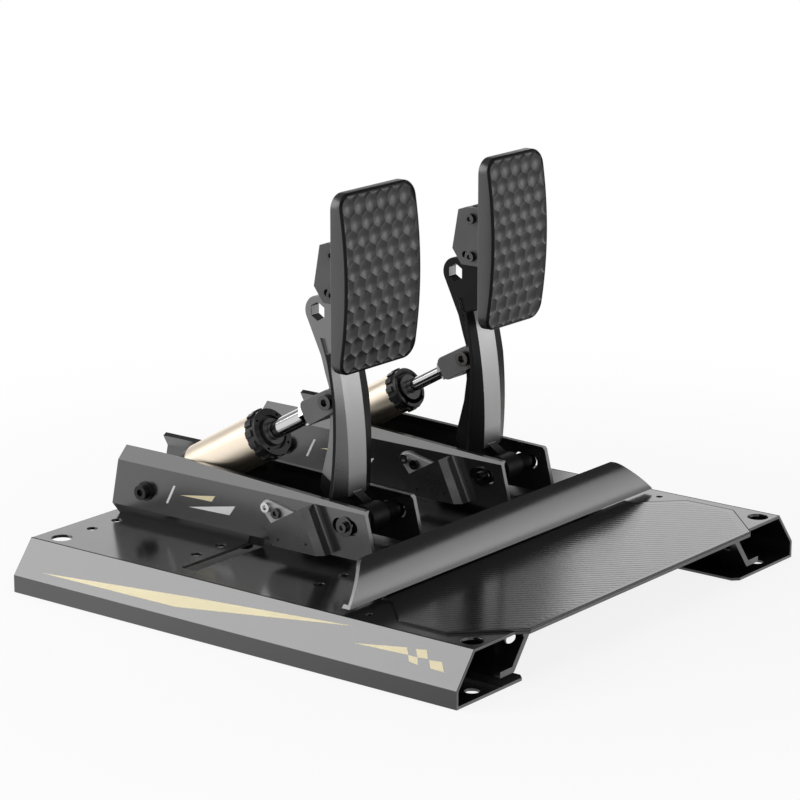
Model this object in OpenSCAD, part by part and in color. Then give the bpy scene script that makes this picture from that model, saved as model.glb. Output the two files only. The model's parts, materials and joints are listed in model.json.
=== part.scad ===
// Two-pedal racing simulator set: a folded sheet base with a heel rest, and two pedal modules.
// +X is the driver's right, +Y points away from the driver, +Z is up, millimetres.
// The origin is at the middle of the whole set, on the floor. Places along Y count from the middle of
// the deck, which lies half of the heel plate's overhang further forward. Each module stands on the deck.

/* [Base] */
// Width of the flat deck
deck_w = 340; // [320:1:380]
// Length of the deck from its rear edge to its front edge
deck_l = 358; // [350:1:400]
// Height of the deck's top above the floor
deck_h = 33; // [28:0.5:42]
// Thickness of the base sheet
sheet_t = 2; // [1.5:0.25:3.5]
// How far each skirt slopes outwards
skirt_run = 17; // [8:0.5:25]
// Height of the upright wall under each skirt
skirt_wall = 11.5; // [7:0.5:16]
// Width of the flange on the floor along each side
flange_w = 69; // [60:1:80]
// Corner cut at each end of a floor flange
flange_cut = 4; // [3:1:14]
// Diameter of the rig bolt holes in the floor flanges
rig_hole_d = 9; // [5:0.5:11]
// Diameter of the tool holes in the deck above them
access_hole_d = 13.5; // [12:0.5:16]
// Distance of the rig holes from the deck's side edges
rig_inset_x = 11.5; // [10:0.5:18]
// Distance of the front rig holes from the deck's front edge
rig_inset_front = 16.5; // [10:0.5:24]
// Distance of the rear rig holes from the deck's rear edge
rig_inset_rear = 10; // [9:0.5:14]
// Thickness of the web inside each rail
web_t = 4; // [3:0.5:5]
// Length of each web, from the deck's rear edge
web_l = 200; // [120:1:220]

/* [Heel rest] */
// Width of the heel plate
heel_w = 316; // [290:1:320]
// Thickness of the heel plate
heel_t = 1.5; // [1:0.25:3]
// How far the heel plate stands out behind the deck
heel_overhang = 6.5; // [2:0.5:10]
// Place of the kicker plate's lower edge along Y
kicker_y = -81.5; // [-86:0.5:-76]
// Gap between the heel plate's top and the kicker plate's lower edge
kicker_gap = 1; // [0.5:0.25:2]
// Height of the kicker plate above its lower edge
kicker_h = 23.5; // [16:0.5:28]
// How far the kicker plate leans forward over its height
kicker_lean = 13.5; // [8:0.5:20]
// Width of the kicker plate along its lower edge
kicker_w = 329; // [300:1:336]
// How much the kicker plate narrows at each end, from bottom to top
kicker_taper = 27.5; // [10:0.5:36]
// How far each end of the kicker plate bows out between its corners
kicker_bow = 1; // [0:0.5:6]
// How far the kicker plate's curve stands in front of a straight sheet
kicker_crown = 2; // [0:0.25:3]
// Radius of the kicker plate's upper corners
kicker_corner_r = 4; // [1:0.5:8]
// Length of the kicker plate's foot on the deck
kicker_foot = 24; // [20:0.5:26]

/* [Modules] */
// Distance of each module from the middle of the base
module_x = 72; // [60:0.5:78]
// Outer width of a module's channel
channel_w = 52; // [50:0.5:60]
// Thickness of the side plates
plate_t = 3; // [2:0.25:3.5]
// Place of the side plates' front edge along Y
plate_front = 174; // [168:0.5:178]
// Place of the side plates' rear edge along Y
plate_rear = -46.5; // [-49:0.5:-44]
// Height above the deck at which the upright face of a side plate starts
web_low = 7.5; // [6:0.25:9]
// Height above the deck at which it ends
web_high = 38.5; // [37.5:0.25:42]
// How far the plate draws in below the upright face
undercut = 4.5; // [2:0.25:6]
// How far the top flange leans in at the front
lip_run = 6.5; // [5:0.25:6.5]
// How high the top flange rises at the front
lip_rise = 9; // [7:0.25:10]
// Width of the foot of a side plate on the deck
foot_w = 15; // [14:0.25:17]
// Distance between the two rows of module bolts
bolt_row_gap = 23.5; // [22:0.25:25]

/* [Pivot and arm] */
// Place of the pedal pivot along Y
pivot_y = -24.6; // [-26:0.1:-23]
// Height of the pedal pivot above the deck
pivot_up = 28; // [26:0.25:30]
// Diameter of the pivot axle
axle_d = 8; // [7:0.25:9]
// Outer diameter of the arm's bushes
bush_d = 12; // [11:0.25:13]
// Outer diameter of the arm's hub
hub_d = 19; // [17:0.25:20]
// Width of the arm's hub
hub_w = 16; // [14:0.25:20]
// Thickness of the arm's spine
spine_t = 8; // [6:0.25:9]
// Width of the flat strip down the back of the arm
strip_w = 18; // [14:0.5:20]
// Width of the arm's flange at its lower end
flange_low_w = 38.5; // [34:0.5:38.5]
// Width of the arm's flange at its upper end
flange_high_w = 32; // [28:0.5:36]
// Thickness of the flange's edge
flange_edge = 2.6; // [2:0.1:3]
// Across-flats size of the six-sided hole in the arm's head
head_hole_af = 10.5; // [8:0.25:12]

/* [Pads] */
// Width of the brake pad
brake_pad_w = 75; // [66:0.5:84]
// Width of the throttle pad
throttle_pad_w = 61; // [54:0.5:70]
// Height of both pads
pad_h = 114; // [104:0.5:124]
// Height of the pads' lower edge above the deck
pad_up = 127; // [124:0.5:132]
// Place of the pads' flat back along Y
pad_back_y = -23; // [-25:0.25:-21]
// Thickness of a pad at its upper and lower edges
pad_edge_t = 7.2; // [6:0.1:9]
// How much the middle of a pad bulges past its edges
pad_bulge = 5.6; // [3:0.1:7]
// Corner radius of a pad
pad_corner_r = 10; // [6:0.5:14]
// Thickness of the face bracket's back plate
bracket_back_t = 4; // [3:0.25:5]
// Thickness of the face bracket's ears
bracket_ear_t = 4; // [3:0.25:5]
// Angle that the face bracket can be tilted through
tilt_range = 12; // [6:1:14]

/* [Damper] */
// Place of the damper's front pivot along Y
front_y = 143.5; // [141:0.25:146]
// Height of the damper's front pivot above the deck
front_up = 21; // [19.5:0.25:22.5]
// Place of the clevis pin along Y
pin_y = 1.6; // [0.6:0.1:2.6]
// Height of the clevis pin above the deck
pin_up = 101.3; // [100:0.25:103]
// Outer diameter of the brake's barrel
brake_barrel_d = 32; // [30:0.25:32.5]
// Outer diameter of the throttle's barrel
throttle_barrel_d = 27.5; // [26.5:0.25:29]
// Wall of the barrel
barrel_wall = 3; // [2:0.25:3.5]
// Distance from the front pivot to the barrel
barrel_from = 31; // [29:0.5:33]
// Length of the barrel
barrel_l = 61; // [59:0.5:63]
// Outer diameter of the brake's preload collar
brake_collar_d = 34.5; // [33:0.25:37]
// Outer diameter of the throttle's preload collar
throttle_collar_d = 30.5; // [29.5:0.25:33]
// Length of the preload collar
collar_l = 8.5; // [8:0.25:11]
// Number of notches round the preload collar
collar_notches = 14; // [8:1:20]
// Diameter of the brake's rod
brake_rod_d = 12; // [10:0.25:13]
// Diameter of the throttle's rod
throttle_rod_d = 9; // [8.5:0.25:11]
// Length of the clevis in front of its pin
clevis_l = 24.5; // [23.5:0.5:27]
// Height of the clevis
clevis_h = 16; // [15:0.25:17]
// Thickness of the clevis ears
clevis_ear_t = 5; // [4:0.25:6]
// Diameter of the brake spring's wire
brake_wire_d = 4; // [3:0.25:4.5]
// Diameter of the throttle spring's wire
throttle_wire_d = 3; // [2:0.25:3.5]

/* [Sensor] */
// Depth of the sensor box, out from its bracket
box_depth = 10; // [9:0.25:14]
// Wall of the sensor box
box_wall = 2; // [1.5:0.25:2.5]
// Thickness of the sensor bracket
sensor_sheet_t = 2; // [1.5:0.25:3]
// Diameter of the outlet for the sensor's lead
outlet_d = 5; // [4:0.25:6]

/* [Fasteners] */
// Shank diameter of the larger bolts
bolt_d = 6; // [5:0.25:6.5]
// Head diameter of the larger bolts
bolt_head_d = 10; // [9:0.25:10.5]
// Head height of the larger bolts
bolt_head_h = 5; // [4:0.25:6]
// Height of a nut
nut_h = 5; // [4:0.25:5.5]
// Diameter of a washer
washer_d = 13; // [12:0.25:14]
// Thickness of a washer
washer_t = 1.2; // [1:0.1:2]
// Shank diameter of the small screws
screw_d = 4; // [3:0.25:4.5]
// Head diameter of the small screws
screw_head_d = 7; // [6:0.25:7.5]
// Head height of the small screws
screw_head_h = 2.6; // [2:0.1:3]

/* [Hidden] */
$fn = 64;
// Running clearance on a radius, clearance between pieces that move past each other, cutting overlap
run = 0.05;
gap = 0.4;
cut = 1;
// Radial room at the clevis pin, where the linkage is opened
pin_room = 0.75;
// Size of a bolt's six-sided socket, as a share of its shank
socket_share = 0.75;

black = "#1d1e20";
satin = "#2a2b2d";
grey = "#4a4b4d";
gold = "#b8874f";
steel = "#b9bbbd";

half = channel_w / 2;
inner = half - plate_t;
skirt_x = deck_w / 2 + skirt_run;
flange_x = skirt_x - flange_w;
rig_x = deck_w / 2 - rig_inset_x;
rig_rear_y = -deck_l / 2 + rig_inset_rear;
rig_front_y = deck_l / 2 - rig_inset_front;

// Rows of module bolts along Y, and the second place where a module can be bolted
bolt_end_inset = 13;
bolt_rear_inset = 15.5;
bolt_middle_y = 70;
bolt_rows = [plate_front - bolt_end_inset, bolt_middle_y, plate_rear + bolt_rear_inset];
second_step = 47.75;
second_x = module_x + second_step;
slot_y = 53.5;
slot_w = 12.5;
slot_corner_r = 2;
slot_x0 = 71;
slot_x1 = 158;

// Damper frame: the origin at the front pivot, Z along the damper to the clevis pin
damper_l = norm([front_y - pin_y, pin_up - front_up]);
damper_turn = atan2(front_y - pin_y, pin_up - front_up);
barrel_end = barrel_from + barrel_l;
function bore_r(barrel_d) = barrel_d / 2 - barrel_wall;
cap_plug = 4;
gland_l = 8;
neck_r = 9;
neck_l = collar_l + 1.5;
piston_l = 6;
piston_end = barrel_end - gland_l - gap;
piston_from = piston_end - piston_l;
clevis_from = damper_l - clevis_l;
jam_l = 5;
jam_margin = 5;
rod_stub_r = 3.8;
rod_stub_l = 8;
clevis_inner = spine_t / 2 + gap;
clevis_outer = clevis_inner + clevis_ear_t;

// Arm: an arc for the flange's back, and the heights between which the flange runs
arm_arc_r = 295;
arm_arc_up = 59;
arm_arc_back = 10.4;
arm_arc_y = pivot_y + arm_arc_back;
flange_from = 41;
flange_to = 134;
bevel_low = 5;
bevel_high = 0.8;
neck_rear_y = -9.5;
tilt_y = -1.8;
tilt_up = 195.7;
tilt_r = 25.4;
tilt_lower_up = tilt_up - tilt_r;
head_y = 14.5;
head_up = 156.6;
head_r = 10.2;
ear_in = spine_t / 2 + gap;
ear_out = ear_in + bracket_ear_t;
bracket_low = 164;
bracket_high = 204;
bracket_w = 40;

// Plane geometry of folded sheets and inset outlines
function unit(v) = v / norm(v);
function left_of(v) = [-v.y, v.x];
function mitred(a, b) = (a + b) / (1 + a * b);
function edge_normal(path, i) = left_of(unit(path[i + 1] - path[i]));
function path_normal(path, i) =
    i == 0 ? edge_normal(path, 0)
    : i == len(path) - 1 ? edge_normal(path, i - 1)
    : mitred(edge_normal(path, i - 1), edge_normal(path, i));
function folded(path, t) =
    concat(path, [for (i = [len(path) - 1:-1:0]) path[i] + t * path_normal(path, i)]);
function inset(outline, t) = [
    for (i = [0:len(outline) - 1])
        let (n = len(outline), last = outline[(i + n - 1) % n], next = outline[(i + 1) % n])
        outline[i] + t * mitred(left_of(unit(outline[i] - last)), left_of(unit(next - outline[i])))
];
function mix(a, b, s) = a + (b - a) * s;

// Extrusions of an XZ outline along Y, and of a YZ outline along X
module along_y(y0, y1) {
    translate([0, y1, 0]) rotate([90, 0, 0]) linear_extrude(y1 - y0) children();
}
module along_x(x0, x1) {
    translate([x0, 0, 0]) rotate([90, 0, 90]) linear_extrude(x1 - x0) children();
}
// A rod along X between two places, at a point of the YZ plane
module bar_x(x0, x1, at, r) {
    translate([x0, at.x, at.y]) rotate([0, 90, 0]) cylinder(r = r, h = x1 - x0);
}
// A six-sided bar along X, by its across-flats size
module hex_x(x0, x1, at, af) {
    translate([x0, at.x, at.y]) rotate([0, 90, 0]) cylinder(r = af / 2 / cos(30), h = x1 - x0, $fn = 6);
}
// A socket-head bolt along X: its head ends at head_x, and its shank runs to end_x
module socket_bolt_x(head_x, end_x, at, d, head_d, head_h) {
    way = sign(end_x - head_x);
    seat = head_x + way * head_h;
    difference() {
        union() {
            bar_x(min(head_x, seat), max(head_x, seat), at, head_d / 2);
            bar_x(min(seat, end_x), max(seat, end_x), at, d / 2);
        }
        hex_x(head_x - (way > 0 ? cut : head_h / 2), head_x + (way > 0 ? head_h / 2 : cut), at,
            d * socket_share);
    }
}
// A round bolt standing on a face at height z: head above, shank down to low, with a nut at its end
module deck_bolt(at, z, low, d, head_d, head_h, nut_z) {
    translate([at.x, at.y, 0]) {
        difference() {
            translate([0, 0, z]) cylinder(d = head_d, h = head_h);
            translate([0, 0, z + head_h / 2]) cylinder(d = d * socket_share, h = head_h, $fn = 6);
        }
        translate([0, 0, low]) cylinder(d = d, h = z - low + head_h / 4);
        translate([0, 0, nut_z - nut_h]) cylinder(r = head_d / 2, h = nut_h, $fn = 6);
    }
}

module on_floor() {
    translate([0, heel_overhang / 2, 0]) children();
}
module at_module(side) {
    on_floor() translate([side * module_x, 0, deck_h]) children();
}
module on_damper() {
    translate([0, front_y, front_up]) rotate([damper_turn, 0, 0]) children();
}

// Base

function skirt_path(side) = [
    [side * flange_x, 0],
    [side * skirt_x, 0],
    [side * skirt_x, skirt_wall],
    [side * deck_w / 2, deck_h],
];
module deck_holes(at, d) {
    for (sx = [-1, 1])
        translate([sx * at.x, at.y, deck_h - sheet_t - cut]) cylinder(d = d, h = sheet_t + 2 * cut);
}
module rig_holes(z, d) {
    for (sx = [-1, 1], y = [rig_rear_y, rig_front_y])
        translate([sx * rig_x, y, z]) cylinder(d = d, h = sheet_t + 2 * cut);
}
module flange_cuts() {
    reach = deck_l / 2;
    for (sx = [-1, 1], sy = [-1, 1])
        translate([0, 0, -cut]) linear_extrude(sheet_t + 2 * cut)
            polygon([
                [sx * (flange_x - cut), sy * (reach - flange_cut)],
                [sx * flange_x, sy * (reach - flange_cut)],
                [sx * (flange_x + flange_cut), sy * reach],
                [sx * (flange_x + flange_cut), sy * (reach + cut)],
                [sx * (flange_x - cut), sy * (reach + cut)],
            ]);
}
module base_plate() {
    right = skirt_path(1);
    left = [for (i = [3:-1:0]) skirt_path(-1)[i]];
    color(satin) difference() {
        union() {
            along_y(-deck_l / 2, deck_l / 2) polygon(folded(concat(right, left), sheet_t));
            heel_tongue();
        }
        rig_holes(-cut, rig_hole_d);
        rig_holes(deck_h - sheet_t - cut, access_hole_d);
        flange_cuts();
        for (y = bolt_rows, sx = [-1, 1])
            for (x = [module_x, second_x])
                deck_holes([x + sx * bolt_row_gap / 2, y], bolt_d + 2 * gap);
        for (sx = [-1, 1])
            translate([0, slot_y - slot_w / 2, deck_h - sheet_t - cut])
                linear_extrude(sheet_t + 2 * cut) cable_slot(sx);
        for (at = kicker_screw_places)
            deck_holes(at, screw_d + 2 * gap);
        for (at = heel_screw_places)
            deck_holes(at, screw_d + 2 * gap);
        deck_holes(spare_hole_at, spare_hole_d);
    }
}
// The deck reaches back under the part of the heel plate that stands out behind it
module heel_tongue() {
    reach = heel_w / 2 - heel_cut;
    root = reach + heel_overhang + cut;
    translate([0, 0, deck_h - sheet_t]) linear_extrude(sheet_t)
        polygon([
            [-reach, heel_rear],
            [reach, heel_rear],
            [root, heel_rear + heel_overhang + cut],
            [-root, heel_rear + heel_overhang + cut],
        ]);
}
module cable_slot(side) {
    low = min(side * slot_x0, side * slot_x1);
    long = slot_x1 - slot_x0;
    r = slot_corner_r;
    translate([low + r, 0]) square([long - 2 * r, slot_w]);
    translate([low, r]) square([long, slot_w - 2 * r]);
    for (x = [low + r, low + long - r], y = [r, slot_w - r])
        translate([x, y]) circle(r = r);
}
// The web hangs from the deck's underside on a flange, slopes out towards the skirt and ends in a lip
web_inset = 6;
web_top_x = flange_x - web_inset;
web_flange = 26;
web_flange_stub = 9;
web_flange_setback = 24;
web_run = 18;
web_lip_up = 5.5;
web_lip_z = sheet_t + web_lip_up;
web_lip = 14;
web_hole_d = 8;
web_hole_place = 0.35;
module rail_web(side) {
    under = deck_h - sheet_t;
    path = [
        [web_top_x + web_flange, under],
        [web_top_x, under],
        [web_top_x + web_run, web_lip_z],
        [web_top_x + web_run + web_lip, web_lip_z],
    ];
    hole_at = mix(path[1], path[2], web_hole_place);
    color(satin) mirror([side < 0 ? 1 : 0, 0, 0]) difference() {
        along_y(-deck_l / 2, -deck_l / 2 + web_l) polygon(folded(path, web_t));
        for (end = [rig_inset_rear, web_l - rig_inset_rear])
            translate([hole_at.x, -deck_l / 2 + end, hole_at.y])
                rotate([0, 90 - atan2(web_run, under - web_lip_z), 0])
                    cylinder(d = web_hole_d, h = 4 * web_t, center = true);
        translate([web_top_x + web_flange_stub, -deck_l / 2 - cut, under - web_t - cut])
            cube([web_flange, web_flange_setback + cut, web_t + 2 * cut]);
    }
}
heel_rear = -deck_l / 2 - heel_overhang;
// The heel plate reaches this far in under the kicker's lower edge
heel_tuck = 1;
heel_front = kicker_y + heel_tuck;
heel_cut = 35;
heel_step = 26;
heel_step_l = 25;
heel_neck = 8;
heel_outline_half = [
    [heel_w / 2 - heel_cut, heel_rear],
    [heel_w / 2, heel_rear + heel_cut],
    [heel_w / 2, heel_front - heel_neck - heel_step_l],
    [heel_w / 2 - heel_step, heel_front - heel_neck],
    [heel_w / 2 - heel_step, heel_front],
];
heel_skin = 0.5;
heel_screw_depth = heel_t - heel_skin;
heel_screw_x = 70;
heel_screw_inset = 22;
heel_screw_places = [
    for (y = [heel_rear + heel_screw_inset, heel_front - heel_screw_inset]) [heel_screw_x, y]
];
// The spare hole in the deck past each end of the kicker
spare_hole_d = 4;
spare_hole_inset = 6.5;
spare_hole_back = 10;
spare_hole_at = [kicker_w / 2 - spare_hole_inset, kicker_y - spare_hole_back];
foot_inset = 20;
foot_half_w = kicker_w / 2 - kicker_taper - foot_inset;
kicker_screw_x = 40;
kicker_screw_inset = 12;
kicker_screw_edge = 7;
web_screw_room = 8;
outer_screw_x = min(foot_half_w - kicker_screw_inset, web_top_x - web_screw_room);
kicker_screw_places = [
    for (x = [kicker_screw_x, outer_screw_x]) [x, kicker_y + kicker_foot - kicker_screw_edge]
];
module heel_plate() {
    count = len(heel_outline_half);
    mirrored = [for (i = [count - 1:-1:0]) [-heel_outline_half[i].x, heel_outline_half[i].y]];
    color(black) difference() {
        translate([0, 0, deck_h]) linear_extrude(heel_t) polygon(concat(heel_outline_half, mirrored));
        for (at = heel_screw_places, sx = [-1, 1])
            translate([sx * at.x, at.y, deck_h - cut]) cylinder(d = screw_d, h = heel_screw_depth + cut);
    }
}
// The foot keeps its full width only as far as the sheet's slope needs it at the ends
foot_keep = 6;
kicker_steps = 20;
kicker_z = deck_h + heel_t + kicker_gap;
kicker_boss_d = 11;
kicker_rise = [kicker_lean, kicker_h];
kicker_front = left_of(unit(kicker_rise));
// Points on the front and back of the kicker's curve at a share of its height
function bulge(s) = 4 * s * (1 - s);
function bulge_slope(s) = 4 * (1 - 2 * s);
function kicker_at(s) = [kicker_y, kicker_z] + s * kicker_rise + kicker_crown * bulge(s) * kicker_front;
function kicker_back(s) =
    kicker_at(s) - sheet_t * left_of(unit(kicker_rise + kicker_crown * bulge_slope(s) * kicker_front));
// How far the kicker's end lies from the middle at a height above the deck
function corner_loss(up) =
    let (past = max(0, up - kicker_h + kicker_corner_r) / kicker_corner_r)
    kicker_corner_r * (1 - sqrt(max(0, 1 - past * past)));
function kicker_half_w(up) =
    let (s = up / kicker_h)
    kicker_w / 2 - kicker_taper * s + kicker_bow * bulge(s) - corner_loss(up);
module kicker_plate() {
    shares = [for (i = [0:kicker_steps]) i / kicker_steps];
    foot_end = kicker_y + kicker_foot;
    foot_top = kicker_z + sheet_t;
    back = [for (s = shares) if (kicker_back(s).y > foot_top) kicker_back(s)];
    inner_y = back[0].x - (back[0].y - foot_top) * kicker_lean / kicker_h;
    sheet = concat(
        [for (i = [kicker_steps:-1:0]) kicker_at(shares[i])],
        [[foot_end, kicker_z], [foot_end, foot_top], [inner_y, foot_top]],
        back
    );
    right_end = concat(
        [[kicker_half_w(0), kicker_z - cut]],
        [for (s = shares) [kicker_half_w(s * kicker_h), kicker_z + s * kicker_h]],
        [[kicker_half_w(kicker_h), kicker_z + kicker_h + cut]]
    );
    left_end = [for (i = [len(right_end) - 1:-1:0]) [-right_end[i].x, right_end[i].y]];
    color(satin) difference() {
        union() {
            intersection() {
                along_x(-kicker_w / 2, kicker_w / 2) polygon(sheet);
                along_y(kicker_y - sheet_t, kicker_y + kicker_foot + cut)
                    polygon(concat(right_end, left_end));
            }
            for (at = kicker_screw_places, sx = [-1, 1])
                translate([sx * at.x, at.y, deck_h]) cylinder(d = kicker_boss_d, h = foot_top - deck_h - cut);
        }
        for (at = kicker_screw_places, sx = [-1, 1])
            translate([sx * at.x, at.y, deck_h - cut])
                cylinder(d = screw_d + 2 * gap, h = foot_top - deck_h + 2 * cut);
        for (sx = [-1, 1])
            translate([sx > 0 ? foot_half_w : -kicker_w, kicker_y + foot_keep, kicker_z - cut])
                cube([kicker_w - foot_half_w, kicker_foot, sheet_t + 2 * cut]);
    }
}
module deck_screws() {
    color(black) for (sx = [-1, 1]) {
        for (at = kicker_screw_places)
            deck_bolt([sx * at.x, at.y], kicker_z + sheet_t, deck_h - sheet_t - nut_h, screw_d,
                screw_head_d, screw_head_h, deck_h - sheet_t);
        for (at = heel_screw_places)
            translate([sx * at.x, at.y, deck_h - sheet_t - screw_head_h]) {
                cylinder(d = screw_head_d, h = screw_head_h);
                cylinder(d = screw_d - 2 * run, h = screw_head_h + sheet_t + heel_screw_depth - run);
            }
    }
}

// Side plates of a module

plate_chamfer = 13.5;
chamfer_drop = 0.5;
chamfer_rise = 7;
plate_lean = 8;
plate_toe = 2.5;
plate_rear_lean = 6.5;
lip_level_l = 39;
lip_level_to = plate_front - lip_level_l;
lip_rear_rise = 1.8;
foot_rear_inset = 6.5;
foot_rear = plate_rear + foot_rear_inset;
mount_head_h = 3;
slot_l = 20;
axle_slot_w = 10;
pivot_at = [pivot_y, pivot_up];
front_at = [front_y, front_up];
module plate_outline() {
    polygon([
        [foot_rear, 0],
        [plate_front - plate_toe, 0],
        [plate_front, web_low],
        [plate_front - plate_lean, web_high + lip_rise],
        [lip_level_to, web_high + lip_rise],
        [plate_rear + plate_rear_lean, web_high + lip_rear_rise],
        [plate_rear, web_low + chamfer_rise],
        [plate_rear + plate_chamfer, web_low - chamfer_drop],
        [plate_rear + plate_chamfer, plate_t],
        [foot_rear, plate_t],
    ]);
}
module side_plate(side) {
    path = [
        [half - undercut - foot_w, 0],
        [half - undercut, 0],
        [half, web_low],
        [half, web_high],
        [half - lip_run, web_high + lip_rise],
    ];
    color(satin) mirror([side < 0 ? 1 : 0, 0, 0]) difference() {
        intersection() {
            along_y(plate_rear, plate_front) polygon(folded(path, plate_t));
            along_x(0, half) plate_outline();
        }
        bar_x(inner - cut, half + cut, front_at, bolt_d / 2 + run);
        for (sy = [-1, 1])
            bar_x(inner - cut, half + cut, pivot_at + [sy * (slot_l - axle_slot_w) / 2, 0], axle_slot_w / 2);
        translate([inner - cut, pivot_y - (slot_l - axle_slot_w) / 2, pivot_up - axle_slot_w / 2])
            cube([plate_t + 2 * cut, slot_l - axle_slot_w, axle_slot_w]);
        for (y = bolt_rows)
            translate([bolt_row_gap / 2, y, -cut]) cylinder(d = bolt_d + 2 * gap, h = plate_t + 2 * cut);
        if (side < 0)
            for (at = sensor_bolt_places)
                bar_x(inner - cut, half + cut, at, screw_d / 2 + run);
    }
}
module mount_bolts() {
    color(black) for (sx = [-1, 1], y = bolt_rows)
        deck_bolt([sx * bolt_row_gap / 2, y], plate_t, -sheet_t - nut_h, bolt_d, bolt_head_d,
            mount_head_h, -sheet_t);
}

// Pivot and arm

screw_thread_l = 12;
module axle() {
    color(steel) difference() {
        bar_x(-half + gap, half - gap, pivot_at, axle_d / 2);
        for (sx = [-1, 1])
            bar_x(sx > 0 ? half - gap - screw_thread_l : -half, sx > 0 ? half : -half + gap + screw_thread_l,
                pivot_at, screw_d / 2 + run);
    }
}
module axle_screws() {
    color(steel) for (sx = [-1, 1]) {
        difference() {
            bar_x(sx > 0 ? half : -half - washer_t, sx > 0 ? half + washer_t : -half, pivot_at, washer_d / 2);
            bar_x(-half - washer_t - cut, half + washer_t + cut, pivot_at, screw_d / 2 + run);
        }
        socket_bolt_x(sx * (half + washer_t + screw_head_h), sx * (half - screw_thread_l + cut), pivot_at,
            screw_d, screw_head_d, screw_head_h);
    }
}
module axle_spacers() {
    color(black) for (sx = [-1, 1])
        difference() {
            bar_x(sx > 0 ? hub_w / 2 + gap : -inner, sx > 0 ? inner : -hub_w / 2 - gap, pivot_at,
                axle_slot_w / 2 + cut);
            bar_x(-half, half, pivot_at, axle_d / 2 + run);
        }
}
module arm_bushes() {
    color(gold) for (sx = [-1, 1])
        difference() {
            bar_x(sx > 0 ? gap : -hub_w / 2, sx > 0 ? hub_w / 2 : -gap, pivot_at, bush_d / 2);
            bar_x(-hub_w, hub_w, pivot_at, axle_d / 2 + run);
        }
}
function arc_y(up) = arm_arc_y + arm_arc_r - sqrt(pow(arm_arc_r, 2) - pow(up - arm_arc_up, 2));
pin_at = [pin_y, pin_up];
tilt_at = [tilt_y, tilt_up];
lower_at = [tilt_y, tilt_lower_up];
head_at = [head_y, head_up];
pin_lug_r = 8;
tilt_lug_r = 8;
// The spine's front edge: heights above the deck, and distances in front of the flange's back
spine_front = [[52, 26], [70, 21], [85, 18], [108, 15.6], [116, 17], [128, 18]];
// The spine's foot in front of the hub: distances in front of the pivot and above it
spine_foot = [[30, 2], [38, 14]];
spine_bury = 1;
spine_step = 15;
spine_wrap = 0.6;
neck_rise = 10;
neck_up = flange_to + neck_rise;
module spine_outline() {
    wrap = hub_d / 2 - spine_wrap;
    polygon(concat(
        [pivot_at + [0, wrap], pivot_at - [0, wrap]],
        [for (p = spine_foot) pivot_at + p],
        [for (p = spine_front) [arc_y(p[0]) + p[1], p[0]]],
        [
            [head_y + head_r * cos(30), head_up - head_r / 2],
            [head_y, head_up + head_r],
            [tilt_y + tilt_lug_r, tilt_lower_up],
            [tilt_y + tilt_lug_r, tilt_up],
            [tilt_y - tilt_lug_r, tilt_up],
            [neck_rear_y, tilt_lower_up],
            [neck_rear_y, neck_up],
        ],
        [for (up = [flange_to:-spine_step:flange_from]) [arc_y(up) + spine_bury, up]]
    ));
    translate(pin_at) circle(r = pin_lug_r);
    translate(tilt_at) circle(r = tilt_lug_r);
    translate(head_at) circle(r = head_r);
}
flange_steps = 12;
bevel_fade = 1.5;
// One cross-section of the flange, from its left edge round to its left edge again
function flange_ring(s) =
    let (
        up = mix(flange_from, flange_to, s),
        y = arc_y(up),
        w = mix(flange_low_w, flange_high_w, s) / 2,
        bevel = mix(bevel_low, bevel_high, min(1, s * bevel_fade)),
        front = y + bevel + flange_edge
    ) [
        [-w, y + bevel, up],
        [-strip_w / 2, y, up],
        [strip_w / 2, y, up],
        [w, y + bevel, up],
        [w, front, up],
        [-w, front, up],
    ];
module arm_flange() {
    sides = 6;
    points = [for (i = [0:flange_steps]) each flange_ring(i / flange_steps)];
    walls = [
        for (i = [0:flange_steps - 1], k = [0:sides - 1])
            let (a = i * sides + k, b = i * sides + (k + 1) % sides)
            each [[a, a + sides, b], [b, a + sides, b + sides]]
    ];
    low = [[0, 1, 5], [1, 2, 5], [2, 4, 5], [2, 3, 4]];
    high = [for (f = low) [f[0], f[2], f[1]] + flange_steps * sides * [1, 1, 1]];
    polyhedron(points, concat(walls, low, high));
}
// The grooves in both sides of the spine, below the clevis pin and above it
groove_t = 2;
groove_land = pin_lug_r + 2;
groove_in = 7;
groove_w = 5;
groove_low_w = 8;
groove_low_up = 56;
groove_head_drop = 17;
groove_head_back = 6;
groove_high_up = head_up - groove_head_drop;
groove_high_y = head_y - groove_head_back;
groove_high_w = 4;
function from_arc(up, forward) = [arc_y(up) + forward, up];
module spine_groove() {
    low = pin_up - groove_land;
    high = pin_up + groove_land;
    polygon([
        from_arc(groove_low_up, groove_in + groove_low_w),
        from_arc(low, groove_in + groove_w),
        from_arc(low, groove_in),
        from_arc(groove_low_up, groove_in),
    ]);
    polygon([
        from_arc(high, groove_in),
        from_arc(high, groove_in + groove_w),
        [groove_high_y + groove_high_w, groove_high_up],
        [groove_high_y, groove_high_up],
    ]);
}
module arm() {
    color(grey) difference() {
        union() {
            along_x(-spine_t / 2, spine_t / 2) spine_outline();
            bar_x(-hub_w / 2, hub_w / 2, pivot_at, hub_d / 2);
            arm_flange();
        }
        bar_x(-hub_w, hub_w, pivot_at, bush_d / 2);
        bar_x(-hub_w, hub_w, pin_at, bolt_d / 2 + pin_room);
        for (at = [tilt_at, lower_at])
            bar_x(-hub_w, hub_w, at, screw_d / 2);
        hex_x(-hub_w, hub_w, head_at, head_hole_af);
        for (sx = [-1, 1])
            along_x(sx > 0 ? spine_t / 2 - groove_t : -spine_t / 2 - cut,
                sx > 0 ? spine_t / 2 + cut : -spine_t / 2 + groove_t) spine_groove();
    }
}

// Face bracket and pad

ear_rear = pad_back_y + bracket_back_t;
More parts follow.
